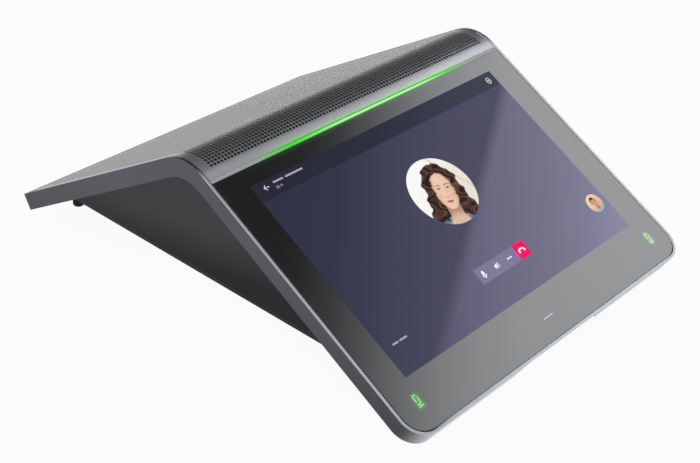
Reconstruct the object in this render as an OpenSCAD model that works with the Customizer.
// Tent-shaped desk IP phone: a thin bent frame holds a touch display on its front slope and a
// perforated metal skin over its ridge and rear slope. A dark core under it carries the speakers,
// the boards and the sockets, which face rearwards into a cable bay under the rear slope.
// X is the width, the display faces -Y, and Z = 0 is the table.

/* [Frame] */
// Width of the frame
frame_w = 181; // [172:1:196]
// Thickness of the frame, square to its slopes
frame_t = 8; // [8:0.5:11]
// Length of the front slope, from the sharp ridge line to the lip
front_len = 140.8; // [138.8:0.2:150]
// Length of the rear slope, from the sharp ridge line to the rear edge
rear_len = 133.4; // [125:0.2:140]
// Tilt of the front slope from level
front_tilt = 30; // [28:0.5:33]
// Gap between the rear edge and the table
rear_gap = 5.7; // [4:0.1:9]
// Outer radius over the ridge
ridge_r = 22; // [19:0.5:24]
// Radius of the frame's underside at the ridge
ridge_under_r = 17; // [12:0.5:19]
// Radius of the two front corners
corner_r = 10.5; // [6:0.5:14]
// Width of the rim round the glass and the skin
rim_w = 1.1; // [0.8:0.1:2]
// Thickness of the frame's floor
floor_t = 1.4; // [1:0.1:1.6]
// Width of the ledges under the edges of the glass and the skin
ledge_w = 3; // [2:0.5:3.5]
// Gap between the lip and the table
lip_gap = 1.2; // [1:0.1:5]
// Half width of the finger scoop under the lip, at its mouth
scoop_half_w = 28; // [18:1:40]
// How far the scoop's ends slope in
scoop_rake = 7; // [2:1:10]
// Length of the scoop along the slope
scoop_len = 6.6; // [4:0.2:7]
// Thickness left over the scoop at the lip
scoop_roof = 1.3; // [1:0.1:2]

/* [Front] */
// Thickness of the cover glass
glass_t = 1.8; // [1:0.1:2]
// Gap round the glass and the skin
edge_gap = 0.3; // [0.2:0.05:0.6]
// Step from the rim down to the glass and the skin
surface_drop = 0.3; // [0.1:0.05:0.6]
// Width of the dark border from the frame's side to the display's lit area
border_side = 15.15; // [12:0.05:20]
// Height of the dark border between the light bar and the lit area
border_top = 7.85; // [6:0.05:12]
// Height of the dark border from the lit area to the lip
border_low = 22.15; // [20:0.05:30]
// Sideways offset of the lit area
screen_shift = -0.6; // [-1.5:0.1:1.5]
// Border of the display panel round its lit area
panel_border = 5; // [3:0.5:5.5]
// Thickness of the display panel
panel_t = 3.2; // [2.4:0.1:3.2]
// Thickness of the sheet tray behind the panel
tray_t = 0.6; // [0.4:0.1:0.8]
// Width of the light bar's visible face
light_w = 1.75; // [1.2:0.05:2.4]
// Gap between the light bar and its neighbours
light_gap = 0.08; // [0.05:0.01:0.2]
// Distance of the mute keys from the frame's sides
key_side = 12.1; // [10:0.1:20]
// Distance of the mute keys from the lip
key_low = 12.6; // [9:0.1:13]
// Width of a mute key's sensor board
key_w = 14; // [10:0.5:18]
// Depth of a mute key's sensor board
key_h = 5; // [4:0.5:6]
// Number of lamps on the light board
lamp_count = 28; // [8:1:40]

/* [Skin] */
// Thickness of the perforated skin
skin_t = 0.8; // [0.5:0.1:1.2]
// Thickness of the acoustic cloth under the skin
cloth_t = 0.2; // [0.1:0.05:0.4]
// Distance from the ridge line to the skin's front edge at the light bar
skin_front = 14.7; // [14:0.1:20]
// Number of ribs under the skin on the rear slope
rib_count = 5; // [3:1:9]
// Thickness of these ribs
rib_t = 1.5; // [1:0.1:2.5]
// Distance from the ridge line to the ribs
rib_start = 45; // [40:1:70]
// Distance of the microphones from the tray's sides
mic_side = 8; // [7:0.5:14]
// Distance from the ridge line to the front microphones
mic_front = 30; // [24:1:50]
// Distance from the rear edge to the rear microphones
mic_rear = 18; // [12:1:30]

/* [Core] */
// How far each side of the core stands in from the frame's side, near the table
core_inset = 20.7; // [19:0.1:24]
// How far each side of the core leans out for each millimetre of height
core_lean = 0.19; // [0.05:0.01:0.21]
// Thickness of the core's walls
wall = 2.4; // [1.6:0.1:2.6]
// Chamfer along the core's lower edges
core_chamfer = 1; // [0.5:0.1:2]
// Distance from the lip, along the slope, to the core's front wall
core_front_gap = 13.8; // [11:0.2:20]
// Rake of the core's front wall
core_rake = 6; // [0:0.5:8]
// Distance from the rear edge to the core's rear ends
core_setback = 0.8; // [0.5:0.1:5]
// Width of the core's two arms beside the cable bay
arm_w = 15.8; // [15.6:0.1:18]
// Distance from the ridge line back to the port wall
port_y = 55; // [54:0.5:58]
// Thickness of the base plate
plate_t = 1.2; // [1:0.1:2]
// Gap between the base plate and the table
plate_gap = 2; // [1.8:0.1:3]
// Thickness of the base plate's upright skirt
skirt_t = 1.2; // [1:0.1:1.6]
// Height of the feet, from the table to the core's lower edge
foot_h = 4.4; // [3.8:0.1:6]
// Radius of the feet
foot_r = 2.75; // [2:0.05:3]

/* [Electronics] */
// Thickness of the main board
board_t = 1.6; // [1:0.1:2]
// Height of the standoffs under the main board
standoff_h = 3.2; // [2:0.1:4]
// How far the main board stands in from the core's sides
board_inset = 14.8; // [14.2:0.1:20]
// Distance from the core's front wall to the main board
board_front_gap = 18; // [16:0.5:30]
// Distance of the standoffs from the main board's edges
standoff_in = 5; // [4:0.5:8]
// Size of the processor
chip_w = 24; // [16:1:30]
// Height of the processor
chip_h = 1.5; // [1:0.1:3]
// Size of the heat sink
sink_w = 36; // [28:1:44]
// Height of the heat sink's fins
fin_h = 5; // [3:0.5:8]
// Thickness of a fin
fin_t = 1.2; // [0.8:0.1:2]
// Thickness of the heat sink's base
sink_t = 1.6; // [1:0.1:3]
// Width of a shield can
can_w = 20; // [14:1:22]
// Depth of a shield can
can_d = 28; // [20:1:34]
// Height of a shield can
can_h = 2.4; // [1.6:0.1:4]
// Sheet thickness of a shield can
can_t = 0.4; // [0.2:0.1:0.6]
// Distance of the shield cans from the middle
can_x = 34; // [32:0.5:36]
// Width of the transformer
coil_box_w = 16; // [12:1:20]
// Depth of the transformer
coil_box_d = 14; // [10:1:18]
// Height of the transformer
coil_box_h = 7; // [5:0.5:9]
// Radius of the capacitors
cap_r = 3.4; // [2.5:0.1:4]
// Height of the capacitors
cap_h = 7.5; // [5:0.5:9]
// Length of the antenna
antenna_len = 14; // [10:1:20]
// Width of the antenna
antenna_w = 3; // [2:0.5:5]
// Radius of the screw pilots
pilot_r = 1.3; // [1:0.05:1.6]
// Radial gap between a screw and its hole
screw_gap = 0.15; // [0.1:0.05:0.3]
// Length of the base screws over the base plate
screw_len = 7; // [5:0.5:9]
// Length of the board screws under the main board
board_screw_len = 1.8; // [1.2:0.1:3]

/* [Speakers] */
// Gap between the speaker box and the core's sides near the table
speaker_side = 4.8; // [3:0.1:8]
// Gap between the two speakers' flanges
speaker_mid_gap = 10; // [6:0.5:20]
// Width of the speaker box's rim round the flanges
speaker_rim = 4; // [3:0.5:8]
// Half depth of the speaker box
speaker_box_half_d = 29; // [28:0.5:32]
// Gap between the speaker box and the underside of the frame
speaker_top_gap = 2.5; // [2.2:0.1:6]
// Gap between the main board and the speaker box
speaker_low_gap = 11; // [9:0.5:14]
// Wall of the speaker box
speaker_wall = 2; // [1.5:0.1:2.5]
// Gap between a magnet and the bottom of the speaker box
magnet_gap = 2.95; // [2:0.05:6]
// Radius of the magnets
magnet_r = 16; // [12:0.5:18]
// Height of the magnets
magnet_h = 10; // [8:0.5:12]
// Depth of the voice coil's gap in the magnet
coil_depth = 8; // [6:0.5:9]
// How far the voice coil reaches into the magnet
coil_reach = 5; // [3:0.5:6]
// Thickness of the voice coil
coil_t = 0.5; // [0.3:0.1:0.8]
// Thickness of a speaker's flange
flange_t = 1.5; // [1:0.1:2]
// Radius of the voice coil
coil_r = 7.6; // [7:0.1:9]
// Radial gap on each side of the voice coil
coil_gap = 0.4; // [0.3:0.05:0.6]

/* [Reset] */
// Radius of the reset button under the base
reset_r = 1.5; // [1.2:0.1:2]
// Radial gap round the reset button
reset_gap = 0.35; // [0.3:0.05:0.6]
// Depth of the reset button inside its hole
reset_sunk = 0.6; // [0.4:0.1:0.8]
// Travel of the reset button
reset_travel = 0.5; // [0.3:0.1:0.8]

/* [Hidden] */

eps = 0.01;           // overshoot of a cut
touch = 0.05;         // gap between pieces that lie against each other
arc_steps = 40;       // straight pieces in the ridge's arc
round_fn = 64;

// the rear slope comes down from the sharp ridge line to its gap over the table
ridge_z = lip_gap + front_len * sin(front_tilt) + frame_t * cos(front_tilt);
rear_tilt = asin((ridge_z - rear_gap) / norm([rear_len, frame_t])) - atan2(frame_t, rear_len);
// the frame is centred on the origin from lip to rear edge
ridge_y = (front_len * cos(front_tilt) - rear_len * cos(rear_tilt)) / 2;

// points [y, z] at a distance d down a slope and a height n over its face
function front_pt(d, n) = [ridge_y - d * cos(front_tilt) - n * sin(front_tilt),
                           ridge_z - d * sin(front_tilt) + n * cos(front_tilt)];
function rear_pt(d, n) = [ridge_y + d * cos(rear_tilt) + n * sin(rear_tilt),
                          ridge_z - d * sin(rear_tilt) + n * cos(rear_tilt)];
// height of the surface at n over the slopes, at a distance y behind the ridge line
function slope_z(y, n) = y < 0 ? ridge_z + y * tan(front_tilt) + n / cos(front_tilt)
                               : ridge_z - y * tan(rear_tilt) + n / cos(rear_tilt);
// centre of an arc of radius r that is tangent to both slopes at height n
function arc_mid(n, r) =
    let (k = (r - n) / sin(front_tilt + rear_tilt))
    [ridge_y - k * (cos(front_tilt) - cos(rear_tilt)),
     ridge_z - k * (sin(front_tilt) + sin(rear_tilt))];
function ridge_arc(n, r) = [
    for (i = [0:arc_steps])
        let (a = 90 + front_tilt - (front_tilt + rear_tilt) * i / arc_steps)
        arc_mid(n, r) + r * [cos(a), sin(a)]
];
// line from the front slope over the ridge to the rear slope, at height n
function over_ridge(n, r, d_front, d_rear) =
    concat([front_pt(d_front, n)], ridge_arc(n, r), [rear_pt(d_rear, n)]);
function reversed(list) = [for (i = [len(list) - 1:-1:0]) list[i]];
// band between two such lines; the arc of the upper one follows the outer radius
function band(n_top, n_low, r_low, d_front, d_rear) =
    concat(over_ridge(n_top, ridge_r + n_top, d_front, d_rear),
           reversed(over_ridge(n_low, r_low, d_front, d_rear)));

// heights over the slopes of what lies in the frame
glass_n = -surface_drop - glass_t;
skin_n = -surface_drop - skin_t;
cloth_n = skin_n - cloth_t;
skin_seat_n = cloth_n - touch;
glass_seat_n = glass_n - touch;
panel_n = glass_seat_n - touch;
tray_n = panel_n - panel_t - touch;
floor_n = -frame_t + floor_t;

inner_half_w = frame_w / 2 - rim_w;
tray_half_w = inner_half_w - ledge_w;
glass_half_w = inner_half_w - edge_gap;
skin_d0 = skin_front;
skin_d1 = rear_len - rim_w - edge_gap;
light_d0 = skin_d0 + light_gap;
light_d1 = light_d0 + light_w;
glass_d0 = light_d1 + light_gap;
glass_d1 = front_len - rim_w - edge_gap;
glass_r = corner_r - rim_w - edge_gap;
light_foot_d1 = light_d1 + 1.5;
light_n = glass_n - 1;
panel_half_w = frame_w / 2 - border_side + panel_border;
panel_d0 = glass_d0 + border_top - panel_border;
panel_d1 = front_len - border_low + panel_border;
cable_d = (panel_d0 + panel_d1) / 2;
lip_d = front_len - scoop_len - 0.5;     // the frame is solid from here to the lip
key_x = frame_w / 2 - key_side;
key_d = front_len - key_low;

core_half_w = frame_w / 2 - core_inset;
base_z = plate_gap;
core_low_z = foot_h;
chamfer_top_z = core_low_z + 3 * core_chamfer;
plate_clear = wall + 0.3;
core_under_n = -frame_t - touch;
core_rear_d = rear_len - core_setback;
core_front_d = front_len - core_front_gap;
core_front_y = front_pt(core_front_d, core_under_n)[0];
core_rear_y = rear_pt(core_rear_d, core_under_n)[0];
port_face_y = ridge_y + port_y;
plate_top_z = base_z + plate_t;
board_z = plate_top_z + standoff_h;
board_top_z = board_z + board_t;
panel_plate_t = 1;
port_plate_y = port_face_y - wall + touch;
board_rear_y = port_face_y - wall - 1;
board_front_y = core_front_y + board_front_gap;
board_half_w = core_half_w - board_inset;
bay_half_w = core_half_w - arm_w;

post_r = 3.2;
post_x = core_half_w - core_chamfer - plate_clear - skirt_t - post_r - 0.4;
post_ys = [board_front_y, ridge_y - speaker_box_half_d - 4 * post_r,
           ridge_y + speaker_box_half_d + 4 * post_r, (port_face_y + core_rear_y) / 2];
screw_head_r = 2.6;
screw_head_h = 1.3;
foot_x = core_half_w - core_chamfer - foot_r;
foot_ys = [core_front_y + core_rake + foot_r + 2, core_rear_y - foot_r - 0.2];
standoff_spots = [
    for (x = [-1, 1] * (board_half_w - standoff_in), y = [board_front_y + standoff_in, ridge_y + 26]) [x, y]
];

// sizes of the sockets: [width, height, depth], in a row along the port wall with equal gaps
lan_size = [16, 13.5, 21];
hdmi_size = [15.2, 6, 11.5];
usb_size = [14.4, 7.2, 17];
socket_gap = 0.3;
window_half_w = bay_half_w - 1.5;
window_z1 = board_top_z + 22;
row_end = window_half_w - 3 * socket_gap - 1;
row_gap = (2 * row_end - 2 * lan_size[0] - 2 * hdmi_size[0] - usb_size[0]) / 4;
lan_xs = [-row_end + lan_size[0] / 2, -row_end + 1.5 * lan_size[0] + row_gap];
hdmi_x0 = lan_xs[1] + lan_size[0] / 2 + row_gap + hdmi_size[0] / 2;
hdmi_xs = [hdmi_x0, hdmi_x0 + hdmi_size[0] + row_gap];
usb_x = row_end - usb_size[0] / 2;
lock_x = hdmi_xs[0];
lock_z = board_top_z + 17;
reset_x = board_half_w - 3 * standoff_in;
reset_y = ridge_y + 20;

// the speakers fill the box across, and its height from the magnets to the flanges
speaker_box_half_w = core_half_w - speaker_side;
speaker_r = (speaker_box_half_w - speaker_rim - speaker_mid_gap / 2) / 2;
speaker_x = speaker_mid_gap / 2 + speaker_r;
speaker_z = min(slope_z(-speaker_box_half_d, -frame_t), slope_z(speaker_box_half_d, -frame_t)) - speaker_top_gap;
speaker_low_z = board_top_z + speaker_low_gap;
basket_depth = speaker_z - speaker_low_z - speaker_wall - magnet_gap - magnet_h - touch;
speaker_hole_r = speaker_r - 4;
seat_r = speaker_hole_r - 7;
cone_r = speaker_hole_r - 4;
gap_in_r = coil_r - coil_gap;
gap_out_r = coil_r + coil_t + coil_gap;

// local frames: x, then -y down the front slope or +y down the rear slope, z out of the slope
module on_front() { translate([0, ridge_y, ridge_z]) rotate([front_tilt, 0, 0]) children(); }
module on_rear() { translate([0, ridge_y, ridge_z]) rotate([-rear_tilt, 0, 0]) children(); }
// a side outline [y, z] made solid across the width
module across(w) { rotate([90, 0, 90]) linear_extrude(height = w, center = true) children(); }
module both_sides() { for (side = [-1, 1]) scale_x(side) children(); }
module scale_x(side) { if (side < 0) mirror([1, 0, 0]) children(); else children(); }
// block between two corners
module block(low, high) { translate(low) cube(high - low); }
module tube(r_out, r_in, h) {
    difference() {
        cylinder(r = r_out, h = h, $fn = round_fn);
        translate([0, 0, -1]) cylinder(r = r_in, h = h + 2, $fn = round_fn);
    }
}

// what a rounded corner leaves outside itself
module corner_waste(r) {
    difference() {
        translate([0, -r - 1]) square([r + 1, r + 1]);
        circle(r = r, $fn = round_fn);
    }
}
// outline on the front slope, with its two lower corners round
module front_outline(half_w, d0, d1, r) {
    difference() {
        translate([-half_w, -d1]) square([2 * half_w, d1 - d0]);
        both_sides() translate([half_w - r, r - d1]) corner_waste(r);
    }
}

// --- frame, glass, display -------------------------------------------------------------

module finger_scoop() {
    roof = [[front_len + 1, -scoop_roof], [front_len, -scoop_roof],
            [front_len - scoop_len, -frame_t - 1], [front_len + 1, -frame_t - 1]];
    on_front() intersection() {
        rotate([90, 0, 90]) linear_extrude(height = 4 * scoop_half_w, center = true)
            polygon([for (p = roof) [-p[0], p[1]]]);
        rotate([90, 0, 0]) translate([0, 0, front_len - scoop_len - 5])
            linear_extrude(height = scoop_len + 10)
                polygon([[-scoop_half_w, -frame_t], [-scoop_half_w, -frame_t - 2],
                         [scoop_half_w, -frame_t - 2], [scoop_half_w, -frame_t],
                         [scoop_half_w - scoop_rake, 0], [scoop_rake - scoop_half_w, 0]]);
    }
}

module frame_posts() {
    intersection() {
        both_sides() for (y = post_ys)
            translate([post_x, y, plate_top_z + touch]) cylinder(r = post_r, h = ridge_z, $fn = 32);
        // up to the middle of the frame's floor
        across(frame_w) polygon(concat(
            over_ridge(-frame_t + floor_t / 2, ridge_under_r, front_len, rear_len),
            [[ridge_y + rear_len, -1], [ridge_y - front_len, -1]]
        ));
    }
}

module top_frame() color("#595a5e") {
    difference() {
        union() {
            difference() {
                across(frame_w) polygon(band(0, -frame_t, ridge_under_r, front_len, rear_len));
                // room for the display, and for what lies under the skin
                across(2 * tray_half_w)
                    polygon(band(eps, floor_n, ridge_under_r + floor_t, light_d0 - 2, rear_len - rim_w - ledge_w));
                on_front() translate([0, 0, floor_n])
                    block([-tray_half_w, -lip_d, 0], [tray_half_w, socket_gap - panel_d0, frame_t + 1]);
                // seats of the skin and the glass
                across(2 * inner_half_w)
                    polygon(concat(over_ridge(1, ridge_r + 1, skin_d0 + light_gap, rear_len - rim_w),
                                   reversed(over_ridge(skin_seat_n, ridge_r + skin_seat_n,
                                                       skin_d0 + light_gap, rear_len - rim_w))));
                on_front() translate([0, 0, glass_seat_n])
                    linear_extrude(height = frame_t)
                        front_outline(inner_half_w, light_d0 - light_gap, front_len - rim_w, corner_r - rim_w);
                // slot of the light bar and its board
                on_front() block([-tray_half_w, -light_foot_d1 - 0.1, floor_n + 0.4],
                                 [tray_half_w, -light_d0 + light_gap, 1]);
                // the round front corners
                on_front() both_sides() translate([frame_w / 2 - corner_r, corner_r - front_len, -frame_t - 2])
                    linear_extrude(height = frame_t + 4) corner_waste(corner_r);
                finger_scoop();
            }
            skin_ribs();
            mic_posts();
            frame_posts();
        }
        // sound of the speakers comes up through the ridge
        translate([0, ridge_y, ridge_z - 2 * frame_t])
            block([3 - speaker_box_half_w, -speaker_r + 5, -12], [-4, speaker_r - 5, frame_t * 2]);
        translate([0, ridge_y, ridge_z - 2 * frame_t])
            block([4, -speaker_r + 5, -12], [speaker_box_half_w - 3, speaker_r - 5, frame_t * 2]);
        // way through for the display's cable
        on_front() block([-cable_half_w - 1, -cable_d - 3, -frame_t - 1], [cable_half_w + 1, -cable_d + 3, 0]);
        both_sides() for (y = post_ys)
            translate([post_x, y, plate_top_z - 1]) cylinder(r = pilot_r, h = screw_len + 3, $fn = 32);
    }
}

module skin_ribs() {
    d0 = rib_start;
    d1 = rear_len - rim_w - ledge_w;
    for (i = [0:rib_count - 1]) {
        x = (i - (rib_count - 1) / 2) * 2 * tray_half_w / rib_count;
        on_rear() block([x - rib_t / 2, d0, floor_n - eps], [x + rib_t / 2, d1 + eps, skin_seat_n]);
    }
}

// the four microphones sit under the skin, near its corners
mic_x = tray_half_w - mic_side;
mic_ds = [mic_front, rear_len - mic_rear];
mic_board_n = skin_seat_n - 2.2;
module at_mics() { both_sides() on_rear() for (d = mic_ds) translate([mic_x, d, 0]) children(); }
module mic_posts() {
    at_mics() translate([0, 0, floor_n - eps])
        cylinder(r = 2.5, h = mic_board_n - 1 - floor_n, $fn = 24);
}
module mic_boards() color("#2c5a3a") {
    at_mics() {
        block([-5, -4, mic_board_n - 1 + touch], [5, 4, mic_board_n]);
        translate([0, 0, mic_board_n - eps]) cylinder(r = 1.8, h = 1, $fn = 24);
    }
}
module mic_boots() color("#1c1c1e") {
    at_mics() translate([0, 0, mic_board_n + touch]) tube(3.4, 1.9, skin_seat_n - mic_board_n - 2 * touch);
}

module grille_skin() color("#8f9092") {
    across(2 * glass_half_w)
        polygon(band(-surface_drop, skin_n, ridge_r + skin_n, skin_d0, skin_d1));
}

module acoustic_cloth() color("#1a1a1c") {
    inset = ledge_w - 1;
    across(2 * (glass_half_w - inset))
        polygon(band(skin_n - touch / 2, cloth_n, ridge_r + cloth_n, skin_d0 - 0.5, skin_d1 - inset));
}

module cover_glass() color("#1c1d1f") {
    on_front() translate([0, 0, glass_n]) linear_extrude(height = glass_t)
        front_outline(glass_half_w, glass_d0, glass_d1, glass_r);
}

// the bar's visible strip, with a foot under the glass
module light_bar() color("#d9f0d6") {
    on_front() {
        block([-glass_half_w, -light_d1, glass_seat_n + touch], [glass_half_w, -light_d0, -surface_drop]);
        block([-tray_half_w + 0.3, -light_d1, light_n], [tray_half_w - 0.3, -light_d0, -glass_t / 2]);
        block([-tray_half_w + 0.3, -light_foot_d1, light_n], [tray_half_w - 0.3, -light_d0, glass_seat_n]);
    }
}

module light_board() color("#e8e8e0") {
    pitch = 2 * (tray_half_w - 4) / (lamp_count - 1);
    board_n = floor_n + 0.4 + touch;
    on_front() {
        block([-tray_half_w + 0.3, -light_foot_d1, board_n], [tray_half_w - 0.3, -light_d0, board_n + 0.8]);
        for (i = [0:lamp_count - 1])
            translate([(i - (lamp_count - 1) / 2) * pitch, -(light_d0 + light_d1) / 2 - 0.5, board_n + 0.8 - eps])
                block([-1, -0.7, 0], [1, 0.7, light_n - board_n - 0.8 - 0.3]);
    }
}

module display_panel() color("#3a3d52") {
    on_front() translate([screen_shift, 0, 0])
        block([-panel_half_w, -panel_d1, panel_n - panel_t], [panel_half_w, -panel_d0, panel_n]);
}

module display_tray() color("#a9acb0") {
    lip = 1;
    on_front() translate([screen_shift, 0, 0]) difference() {
        union() {
            block([-panel_half_w, -panel_d1, tray_n - tray_t], [panel_half_w, -panel_d0, tray_n]);
            // tabs to the display's lower edge
            both_sides() block([panel_half_w - 30, -panel_d1 - lip, tray_n - tray_t],
                               [panel_half_w - 10, -panel_d1 - touch, panel_n - 1]);
            both_sides() block([panel_half_w - 30, -panel_d1 - lip, tray_n - tray_t],
                               [panel_half_w - 10, -panel_d1 + 1, tray_n]);
        }
        block([-cable_half_w - 3 - screen_shift, -cable_d - 6, tray_n - tray_t - 1],
              [cable_half_w + 3 - screen_shift, -cable_d + 6, tray_n + 1]);
    }
}

module mute_key_boards() color("#2c5a3a") {
    on_front() both_sides() {
        translate([key_x - key_w / 2, -key_d - key_h / 2, panel_n - 1]) cube([key_w, key_h, 1]);
        translate([key_x - 1, -key_d - 0.8, panel_n - 1.6]) cube([2, 1.6, 0.6 + eps]);
    }
}

// flat cable from the display down to the main board
cable_half_w = 10;
cable_t = 0.3;
module display_cable() color("#c9a25a") {
    top = front_pt(cable_d, tray_n - tray_t + 0.3);
    bend_z = board_top_z + 1.4;
    foot_y = top[0] - 2;
    across(2 * cable_half_w) polygon([
        top, [top[0] + cable_t, top[1] + 0.15], [top[0] + cable_t, bend_z],
        [foot_y - 4, bend_z], [foot_y - 4, bend_z + cable_t], [top[0], bend_z + cable_t]
    ]);
    block([-cable_half_w - 1, foot_y - 8, board_top_z], [cable_half_w + 1, foot_y - 4 + eps, board_top_z + 2.4]);
}

// --- core ------------------------------------------------------------------------------

// the core's outer form, drawn in by a distance from its sides and ends
module core_form(inset, n_top, z_low) {
    lean_x = core_lean * (ridge_z - chamfer_top_z);
    side = core_half_w - inset;
    intersection() {
        across(4 * core_half_w) polygon(concat(
            [[core_front_y + core_rake + inset, z_low]],
            [front_pt(core_front_d, n_top) + [inset, 0]],
            ridge_arc(n_top, ridge_under_r),
            [rear_pt(core_rear_d, n_top) - [inset, 0]],
            [[core_rear_y - inset, z_low]]
        ));
        rotate([90, 0, 0]) linear_extrude(height = 4 * front_len, center = true) polygon([
            [-side + core_chamfer, z_low], [-side + core_chamfer, core_low_z], [-side, chamfer_top_z],
            [-side - lean_x, ridge_z], [side + lean_x, ridge_z],
            [side, chamfer_top_z], [side - core_chamfer, core_low_z], [side - core_chamfer, z_low]
        ]);
    }
}

// the cable bay, made larger by a distance on its sides and at the port wall
module bay(grow) {
    block([-bay_half_w - grow, port_face_y - grow, -1],
          [bay_half_w + grow, port_face_y + rear_len, ridge_z]);
}

module foot_spots() {
    both_sides() for (y = foot_ys) translate([foot_x, y, 0]) children();
}

module core_housing() color("#444246") {
    difference() {
        union() {
            difference() {
                core_form(0, core_under_n, core_low_z);
                difference() {
                    core_form(wall, 2, -1);
                    bay(wall);
                }
            }
            // solid corners that carry the feet
            intersection() {
                foot_spots() translate([0, 0, core_low_z]) cylinder(r = foot_r + 2, h = 2.5, $fn = 32);
                core_form(0.2, core_under_n, core_low_z);
            }
        }
        bay(0);
        block([-window_half_w, port_face_y - wall - 1, board_top_z - 1], [window_half_w, port_face_y + 1, window_z1]);
    }
}

module base_plate() color("#6c6f73") {
    difference() {
        intersection() {
            core_form(plate_clear, 2, -1);
            block([-frame_w, -front_len, base_z], [frame_w, rear_len, core_low_z + 2]);
        }
        intersection() {
            core_form(plate_clear + skirt_t, 3, -1);
            block([-frame_w, -front_len, plate_top_z], [frame_w, rear_len, ridge_z]);
        }
        bay(plate_clear);
        foot_spots() cylinder(r = foot_r + 2.3, h = 4 * foot_h, $fn = 32);
        both_sides() for (y = post_ys)
            translate([post_x, y, 0]) cylinder(r = pilot_r + screw_gap, h = 10, $fn = 32);
        vent_slots();
        translate([reset_x, reset_y, 0]) cylinder(r = reset_r + reset_gap, h = 10, $fn = 48);
    }
}

module vent_slots() {
    for (i = [-5:5]) translate([i * 7, (board_front_y + ridge_y) / 2, 0])
        block([-1, -14, 0], [1, 14, 10]);
}

module rubber_feet() color("#141414") {
    foot_spots() {
        cylinder(r1 = foot_r - 0.4, r2 = foot_r, h = 0.5 + eps, $fn = 48);
        translate([0, 0, 0.5]) cylinder(r = foot_r, h = core_low_z - 0.5 - touch / 2, $fn = 48);
    }
}

module base_screws() color("#b9bbbe") {
    shank = pilot_r - screw_gap;
    both_sides() for (y = post_ys) translate([post_x, y, base_z - touch / 2]) {
        translate([0, 0, -screw_head_h]) tube(screw_head_r, 0.9, screw_head_h);
        translate([0, 0, -screw_head_h / 2]) cylinder(r = screw_head_r - 0.5, h = screw_head_h / 2 + eps, $fn = 32);
        cylinder(r = shank, h = plate_t + screw_len, $fn = 32);
    }
}

// --- boards ----------------------------------------------------------------------------

module main_board() color("#1f5136") {
    difference() {
        block([-board_half_w, board_front_y, board_z], [board_half_w, board_rear_y, board_top_z]);
        for (p = standoff_spots) translate([p[0], p[1], board_z - 1])
            cylinder(r = pilot_r + screw_gap, h = board_t + 2, $fn = 32);
    }
}

module board_standoffs() color("#c9a64b") {
    for (p = standoff_spots) translate([p[0], p[1], plate_top_z + touch / 2])
        tube(2.6, pilot_r, standoff_h - touch);
}

module board_screws() color("#b9bbbe") {
    for (p = standoff_spots) translate([p[0], p[1], board_top_z + touch / 2]) {
        translate([0, 0, 0.5]) tube(2.4, 0.8, 0.8);
        cylinder(r = 2.4, h = 0.5 + eps, $fn = 32);
        translate([0, 0, -board_t - board_screw_len])
            cylinder(r = pilot_r - screw_gap, h = board_t + board_screw_len + eps, $fn = 32);
    }
}

chip_y = (board_front_y + ridge_y) / 2 + 4;
module on_board(x, y) { translate([x, y, board_top_z + touch / 2]) children(); }
// block of a width and a depth about the middle
module chip(w, d, h) { block([-w / 2, -d / 2, 0], [w / 2, d / 2, h]); }
module processor() color("#26272a") {
    on_board(0, chip_y) chip(chip_w, chip_w, chip_h);
}

module heat_sink() color("#9a9da2") {
    fin_count = 9;
    pitch = (sink_w - fin_t) / (fin_count - 1);
    translate([0, chip_y, board_top_z + chip_h + 2 * touch]) {
        chip(sink_w, sink_w, sink_t);
        for (i = [0:fin_count - 1])
            translate([(i - (fin_count - 1) / 2) * pitch, 0, sink_t - eps]) chip(fin_t, sink_w, fin_h);
    }
}

module shield_cans() color("#b4b6b9") {
    both_sides() on_board(can_x, chip_y) difference() {
        chip(can_w, can_d, can_h);
        translate([0, 0, -can_t]) chip(can_w - 2 * can_t, can_d - 2 * can_t, can_h);
    }
}

module power_parts() color("#5b4a3a") {
    x0 = -board_half_w + standoff_in + coil_box_w / 2 + 1;
    y0 = ridge_y + coil_box_d;
    on_board(x0, y0) chip(coil_box_w, coil_box_d, coil_box_h);
    for (i = [1:2])
        on_board(x0 + coil_box_w / 2 + i * 2.6 * cap_r, y0) cylinder(r = cap_r, h = cap_h, $fn = 32);
}

module antenna() color("#c8a05a") {
    on_board(board_half_w - 2 * standoff_in - antenna_len / 2, board_front_y + antenna_w) chip(antenna_len, antenna_w, 1);
}

// --- sockets ---------------------------------------------------------------------------

// a socket's body, flush with the port plate, with its mouth towards the rear
module socket(x, size, mouth, mouth_z, mouth_depth) {
    face_y = port_plate_y + panel_plate_t + 0.3;
    translate([x, face_y, board_top_z + touch / 2]) difference() {
        block([-size[0] / 2, -size[2], 0], [size[0] / 2, 0, size[1]]);
        block([-mouth[0] / 2, -mouth_depth, mouth_z], [mouth[0] / 2, 1, mouth_z + mouth[1]]);
    }
}

module lan_jack(x) {
    difference() {
        socket(x, lan_size, [12, 8.2], 3.4, 14);
        // room for the plug's latch
        translate([x, port_plate_y, board_top_z]) block([-3.2, -8, 1], [3.2, 3, 4.5]);
    }
}
module lan_jack_left() color("#b9bcc0") lan_jack(lan_xs[0]);
module lan_jack_right() color("#b9bcc0") lan_jack(lan_xs[1]);

module hdmi_jack(x) {
    socket(x, hdmi_size, [14, 4.6], 0.7, 9);
    translate([x, port_plate_y + panel_plate_t - 6, board_top_z + 2.8]) block([-5, -3.5, 0], [5, 4, 0.8]);
}
module hdmi_jack_in() color("#a3a6aa") hdmi_jack(hdmi_xs[0]);
module hdmi_jack_out() color("#a3a6aa") hdmi_jack(hdmi_xs[1]);

module usb_jack() color("#a3a6aa") {
    socket(usb_x, usb_size, [12.8, 5.4], 0.9, 13);
    translate([usb_x, port_plate_y, board_top_z + 0.6 * usb_size[1]])
        block([-0.4 * usb_size[0], -0.8 * usb_size[2], 0], [0.4 * usb_size[0], 0, 0.2 * usb_size[1]]);
}

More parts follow.
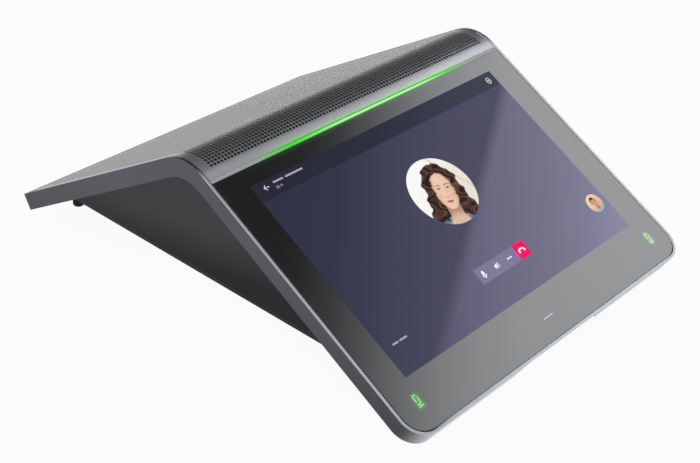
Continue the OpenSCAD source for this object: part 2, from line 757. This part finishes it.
module port_hole(x, z0, w, h) {
    block([x - w / 2 - socket_gap, -5, z0 - socket_gap], [x + w / 2 + socket_gap, 5, z0 + h + socket_gap]);
}

module port_panel() color("#55565a") {
    margin = 0.3;
    z0 = board_top_z - 1 + margin;
    difference() {
        translate([0, port_plate_y, 0])
            block([-window_half_w + margin, 0, z0], [window_half_w - margin, panel_plate_t, window_z1 - margin]);
        translate([0, port_plate_y, board_top_z]) {
            for (x = lan_xs) port_hole(x, 0, lan_size[0], lan_size[1]);
            for (x = hdmi_xs) port_hole(x, 0, hdmi_size[0], hdmi_size[1]);
            port_hole(usb_x, 0, usb_size[0], usb_size[1]);
            block([lock_x - 3.8, -5, lock_z - board_top_z - 1.8], [lock_x + 3.8, 5, lock_z - board_top_z + 1.8]);
        }
    }
}

// hardened insert behind the security-lock slot
module lock_insert() color("#8d9094") {
    translate([lock_x, port_plate_y - touch, lock_z]) difference() {
        block([-8, -2, -4.5], [8, 0, 4.5]);
        block([-3.5, -3, -1.5], [3.5, 1, 1.5]);
    }
}

// the reset switch hangs under the main board, and its button stands in a hole of the base plate
reset_body_z = plate_top_z + reset_travel + 0.7;
module reset_switch() color("#2a2a2c") {
    translate([reset_x, reset_y, 0]) difference() {
        block([-3, -3, reset_body_z], [3, 3, board_z - touch / 2]);
        translate([0, 0, reset_body_z - 1]) cylinder(r = reset_r - 0.4, h = 2, $fn = 32);
    }
}
module reset_button() color("#d8d8d8") {
    translate([reset_x, reset_y, 0]) {
        translate([0, 0, base_z + reset_sunk])
            cylinder(r = reset_r, h = plate_top_z - base_z - reset_sunk + 0.3, $fn = 48);
        translate([0, 0, plate_top_z]) cylinder(r = reset_r - 0.75, h = 0.8 + eps, $fn = 32);
    }
}

// --- speakers --------------------------------------------------------------------------

module at_speaker(side) { translate([side * speaker_x, ridge_y, speaker_z]) children(); }

module speaker_box() color("#2d2d30") {
    low = [-speaker_box_half_w, ridge_y - speaker_box_half_d, speaker_low_z];
    high = [speaker_box_half_w, ridge_y + speaker_box_half_d, speaker_z - touch];
    difference() {
        union() {
            block(low, high);
            // legs down to the base plate, beside the main board
            both_sides() for (y = [-14, 14])
                translate([board_half_w + 3.4, ridge_y + y, plate_top_z + touch])
                    cylinder(r = 2.6, h = speaker_low_z - plate_top_z, $fn = 32);
        }
        block(low + speaker_wall * [1, 1, 1], high - speaker_wall * [1, 1, 1]);
        for (side = [-1, 1]) at_speaker(side) {
            translate([0, 0, -speaker_wall - 1]) cylinder(r = speaker_hole_r, h = 10, $fn = round_fn);
            screw_ring() translate([0, 0, -speaker_wall - 1]) cylinder(r = pilot_r - screw_gap, h = 10, $fn = 24);
        }
        // way out for the speaker leads
        for (side = [-1, 1]) translate([side * lead_x, ridge_y, low[2] - 1]) cylinder(r = 2.6, h = speaker_wall + 2, $fn = 32);
    }
}

lead_x = speaker_mid_gap / 2 + 3;
module screw_ring() {
    for (a = [45:90:315]) rotate(a) translate([speaker_r - 2, 0, 0]) children();
}

module speaker_leads() color("#8a1f1f") {
    for (side = [-1, 1], x = [-0.9, 0.9])
        translate([side * lead_x + x, ridge_y, board_top_z + touch])
            cylinder(r = 0.7, h = speaker_low_z + 6 - board_top_z, $fn = 24);
}

module speaker_screws() color("#b9bbbe") {
    for (side = [-1, 1]) at_speaker(side) screw_ring() {
        translate([0, 0, flange_t + touch]) cylinder(r = 1.7, h = 1, $fn = 24);
        translate([0, 0, -speaker_wall])
            cylinder(r = pilot_r - 2 * screw_gap, h = speaker_wall + flange_t + 2 * touch, $fn = 24);
    }
}

module speaker_frame(side) {
    arm_t = 1.2;
    hub_r = gap_out_r + 0.2;
    at_speaker(side) difference() {
        rotate_extrude($fn = round_fn) polygon([
            [speaker_hole_r - 1.4, 0], [speaker_hole_r - 1.4, flange_t], [speaker_r, flange_t], [speaker_r, 0],
            [speaker_hole_r - 0.3, 0], [seat_r, 1 - basket_depth], [seat_r, -basket_depth],
            [hub_r, -basket_depth], [hub_r, 1 - basket_depth], [seat_r - arm_t, 1 - basket_depth]
        ]);
        screw_ring() translate([0, 0, -1]) cylinder(r = pilot_r, h = flange_t + 3, $fn = 24);
        // windows between the frame's four arms
        for (a = [0:90:270]) rotate(a) block([seat_r - 5, -8, 2 - basket_depth], [speaker_r, 8, -2.5]);
    }
}
module speaker_frame_left() color("#6f7275") speaker_frame(-1);
module speaker_frame_right() color("#6f7275") speaker_frame(1);

module magnet(side) {
    top = -basket_depth - touch;
    at_speaker(side) rotate_extrude($fn = round_fn) polygon([
        [0, top], [gap_in_r, top], [gap_in_r, top - coil_depth], [gap_out_r, top - coil_depth],
        [gap_out_r, top], [magnet_r, top], [magnet_r, top - magnet_h], [0, top - magnet_h]
    ]);
}
module magnet_left() color("#3b3c3f") magnet(-1);
module magnet_right() color("#3b3c3f") magnet(1);

// voice coil, cone and dust cap in one piece
module cone(side) {
    coil_low = -basket_depth - coil_reach;
    neck_z = -basket_depth + 5;
    edge_z = -0.4;
    out_r = coil_r + coil_t;
    at_speaker(side) rotate_extrude($fn = round_fn) polygon([
        [coil_r, coil_low], [out_r, coil_low], [out_r, neck_z - 0.6],
        [cone_r, edge_z - 0.8], [cone_r, edge_z], [out_r + 0.3, neck_z + 0.6],
        [coil_r * 0.6, neck_z + 2.2], [0, neck_z + 2.9], [0, neck_z + 2.3],
        [coil_r * 0.6, neck_z + 1.6], [coil_r, neck_z]
    ]);
}
module cone_left() color("#222326") cone(-1);
module cone_right() color("#222326") cone(1);

// rubber ring from the speaker frame's flange down to the cone's edge
module surround(side) {
    top = flange_t + touch + 0.5;
    low = -0.4 + touch;
    in_r = speaker_hole_r - 1.4;
    at_speaker(side) rotate_extrude($fn = round_fn) polygon([
        [cone_r - 0.5, low], [cone_r, low], [cone_r + 0.8, low + 0.5], [in_r - 0.7, top - 0.7],
        [in_r - 0.2, top - 0.5], [in_r + 1.4, top - 0.5], [in_r + 1.4, top], [in_r - 0.4, top],
        [in_r - 1.3, top - 0.4], [cone_r + 0.3, low + 0.9], [cone_r - 0.5, low + 0.5]
    ]);
}
module surround_left() color("#1a1a1b") surround(-1);
module surround_right() color("#1a1a1b") surround(1);

// --- parts -----------------------------------------------------------------------------

top_frame();
grille_skin();
acoustic_cloth();
cover_glass();
light_bar();
light_board();
display_panel();
display_tray();
mute_key_boards();
mic_boards();
mic_boots();
core_housing();
base_plate();
rubber_feet();
base_screws();
main_board();
board_standoffs();
board_screws();
processor();
heat_sink();
shield_cans();
power_parts();
antenna();
display_cable();
port_panel();
lan_jack_left();
lan_jack_right();
hdmi_jack_in();
hdmi_jack_out();
usb_jack();
lock_insert();
reset_switch();
reset_button();
speaker_box();
speaker_leads();
speaker_screws();
speaker_frame_left();
speaker_frame_right();
magnet_left();
magnet_right();
surround_left();
surround_right();
cone_left();
cone_right();
